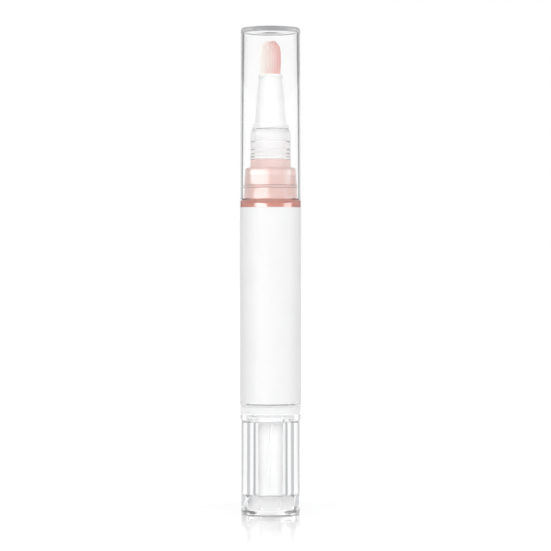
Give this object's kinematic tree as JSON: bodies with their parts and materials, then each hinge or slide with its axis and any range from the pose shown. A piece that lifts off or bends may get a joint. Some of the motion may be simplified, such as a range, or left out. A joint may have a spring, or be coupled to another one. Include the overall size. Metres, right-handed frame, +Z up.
{
  "type": "nail art pen",
  "caption": "Clear twist-up nail pen with a pink gel, a brush in a white cone under a clear push-on cap, a white sleeve and a thick clear twist knob.",
  "frame": {"origin": "centre of the knob's flat base, on the surface that the pen stands on", "axes": "+Z up along the pen's axis, from the twist knob to the brush and the cap's top; -Y is the side that the picture shows"},
  "size_m": [0.016, 0.016, 0.1268],
  "materials": {
    "clear_barrel": "gloss",
    "white_sleeve": "satin",
    "white_nozzle": "satin",
    "white_ferrule": "gloss",
    "steel_tube": "satin",
    "pink_bristle": "satin",
    "pale_pink_gel": "gloss",
    "pink_gel": "gloss",
    "white_housing": "satin",
    "white_piston": "satin",
    "white_rod": "satin",
    "white_drive": "satin",
    "grey_click": "satin",
    "clear_knob": "gloss",
    "clear_plug": "gloss",
    "clear_cap": "gloss"
  },
  "bodies": {
    "barrel_body": {"barrel": "clear_barrel", "white_sleeve": "white_sleeve", "nozzle": "white_nozzle", "brush_ferrule": "white_ferrule", "feed_tube": "steel_tube", "brush_tuft": "pink_bristle", "gel_neck": "pale_pink_gel", "gel_chamber": "pink_gel", "nut_housing": "white_housing"},
    "knob_body": {"knob": "clear_knob", "base_plug": "clear_plug", "drive_tube": "white_drive", "click_ring": "grey_click"},
    "rod_body": {"screw_rod": "white_rod"},
    "piston_body": {"piston": "white_piston"},
    "cap_body": {"cap": "clear_cap"}
  },
  "joints": [
    {"name": "knob_turn", "type": "hinge", "parent": "barrel_body", "child": "knob_body", "pos_m": [0, 0, 0], "axis": [0, 0, 1], "range_deg": [0, 5400]},
    {"name": "rod_feed", "type": "slide", "parent": "knob_body", "child": "rod_body", "axis": [0, 0, 1], "range_m": [0, 0.03]},
    {"name": "piston_feed", "type": "slide", "parent": "barrel_body", "child": "piston_body", "axis": [0, 0, 1], "range_m": [0, 0.03], "deforming": ["gel_chamber"]},
    {"name": "cap_pull", "type": "slide", "parent": "barrel_body", "child": "cap_body", "axis": [0, 0, 1], "range_m": [0, 0.05]}
  ],
  "couplings": [
    {"joint": "rod_feed", "follows": "knob_turn", "m_per_rad": 0.00031831},
    {"joint": "piston_feed", "follows": "knob_turn", "m_per_rad": 0.00031831}
  ]
}
